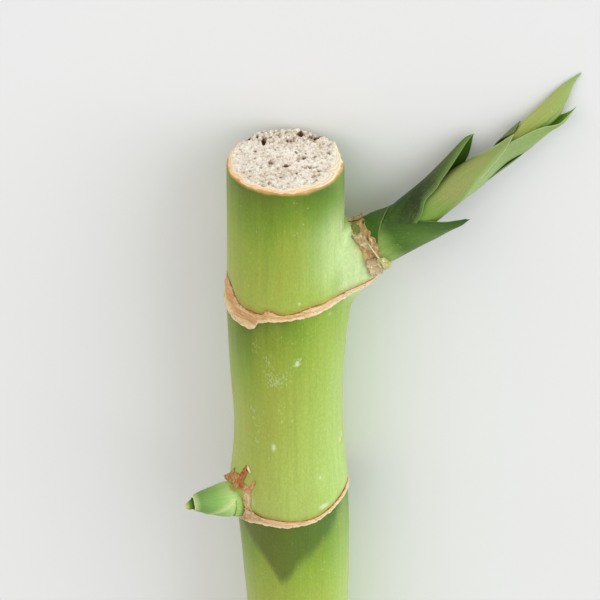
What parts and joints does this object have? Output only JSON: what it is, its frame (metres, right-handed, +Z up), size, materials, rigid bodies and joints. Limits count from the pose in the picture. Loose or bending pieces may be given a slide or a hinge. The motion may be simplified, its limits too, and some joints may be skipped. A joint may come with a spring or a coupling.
{
  "type": "lucky bamboo cane cutting",
  "caption": "Cut lucky bamboo cane lying down, with dry leaf scars, a rolled leafy side shoot and a small green bud.",
  "frame": {"origin": "centre of the underside of the box around the piece, on the surface that it lies on", "axes": "+X along the cane towards the upper cut, +Z up from the surface; the shoot leans down to -Y and the bud is on +Y"},
  "size_m": [0.1672, 0.065, 0.0232],
  "materials": {
    "cane": "smooth waxy green rind with a granular cream pith at the cut ends",
    "leaf_scar": "dry papery tan ring",
    "dry_bract": "dry crinkled tan bract",
    "leaf_dark": "satin dark green leaf with fine veins",
    "leaf_mid": "satin green leaf with fine veins and a pale edge",
    "leaf_light": "satin yellow-green young leaf",
    "bud": "satin fresh green bud scale",
    "bud_tip": "yellow-green inner scale",
    "red_bract": "dry red-brown flake"
  },
  "bodies": {
    "root": {"cane": "cane", "leaf_scar_bottom": "leaf_scar", "leaf_scar_middle": "leaf_scar", "leaf_scar_top": "leaf_scar", "shoot_bract": "dry_bract", "shoot_sheath": "leaf_dark", "shoot_leaf_low": "leaf_mid", "shoot_leaf_back": "leaf_dark", "shoot_leaf_front": "leaf_mid", "shoot_leaf_side": "leaf_light", "shoot_leaf_under": "leaf_dark", "shoot_leaf_hidden": "leaf_dark", "shoot_spear": "leaf_light", "bud_base_scale": "bud", "bud_main_scale": "bud", "bud_tip": "bud_tip", "bud_bract": "red_bract"}
  },
  "joints": []
}
